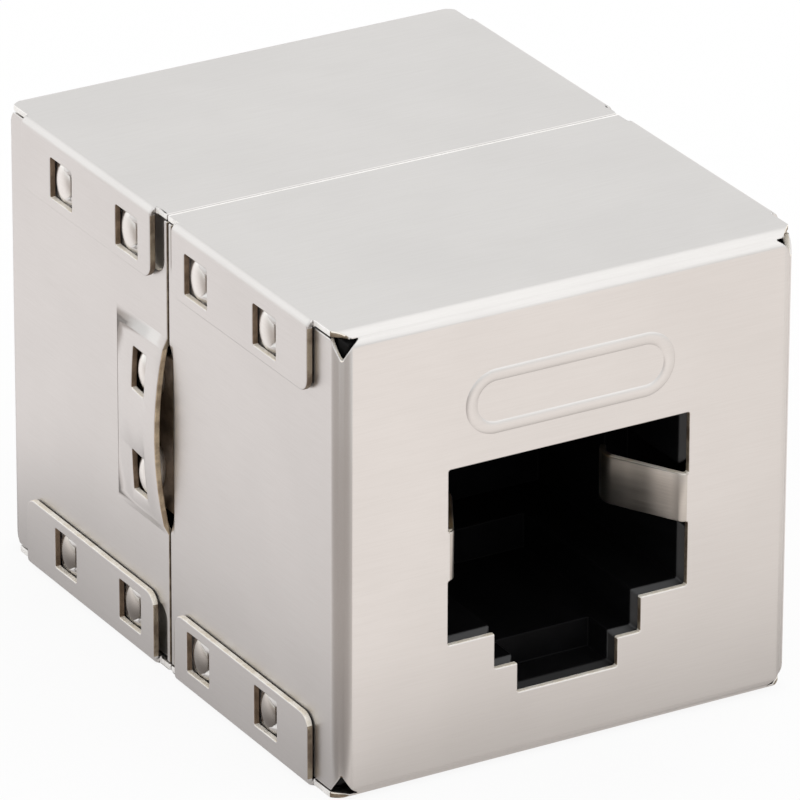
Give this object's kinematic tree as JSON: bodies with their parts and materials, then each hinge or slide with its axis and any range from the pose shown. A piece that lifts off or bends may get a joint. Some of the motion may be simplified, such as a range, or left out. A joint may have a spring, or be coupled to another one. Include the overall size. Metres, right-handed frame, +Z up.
{
  "type": "shielded modular network coupler",
  "caption": "Shielded inline coupler: a rectangular folded sheet-metal case in two snapped halves, with a stepped modular jack socket in each end that joins two patch cables.",
  "frame": {"origin": "middle of the case's bottom face, half way between the two sockets", "axes": "+X across the case, +Y from the front socket to the rear socket, +Z up; the sockets' keyways are at the bottom"},
  "size_m": [0.0244, 0.0304, 0.0223],
  "materials": {
    "case_sheet": "satin nickel plating on brass sheet",
    "jack_plastic": "black moulded plastic",
    "board_laminate": "solder mask on glass laminate",
    "contact_gold": "gold plated spring bronze"
  },
  "bodies": {
    "root": {"front_shell": "case_sheet", "rear_shell": "case_sheet", "circuit_board": "board_laminate", "front_jack_body": "jack_plastic", "front_contact_carrier": "jack_plastic", "front_contact_1": "contact_gold", "front_contact_2": "contact_gold", "front_contact_3": "contact_gold", "front_contact_4": "contact_gold", "front_contact_5": "contact_gold", "front_contact_6": "contact_gold", "front_contact_7": "contact_gold", "front_contact_8": "contact_gold", "rear_jack_body": "jack_plastic", "rear_contact_carrier": "jack_plastic", "rear_contact_1": "contact_gold", "rear_contact_2": "contact_gold", "rear_contact_3": "contact_gold", "rear_contact_4": "contact_gold", "rear_contact_5": "contact_gold", "rear_contact_6": "contact_gold", "rear_contact_7": "contact_gold", "rear_contact_8": "contact_gold"}
  },
  "joints": []
}
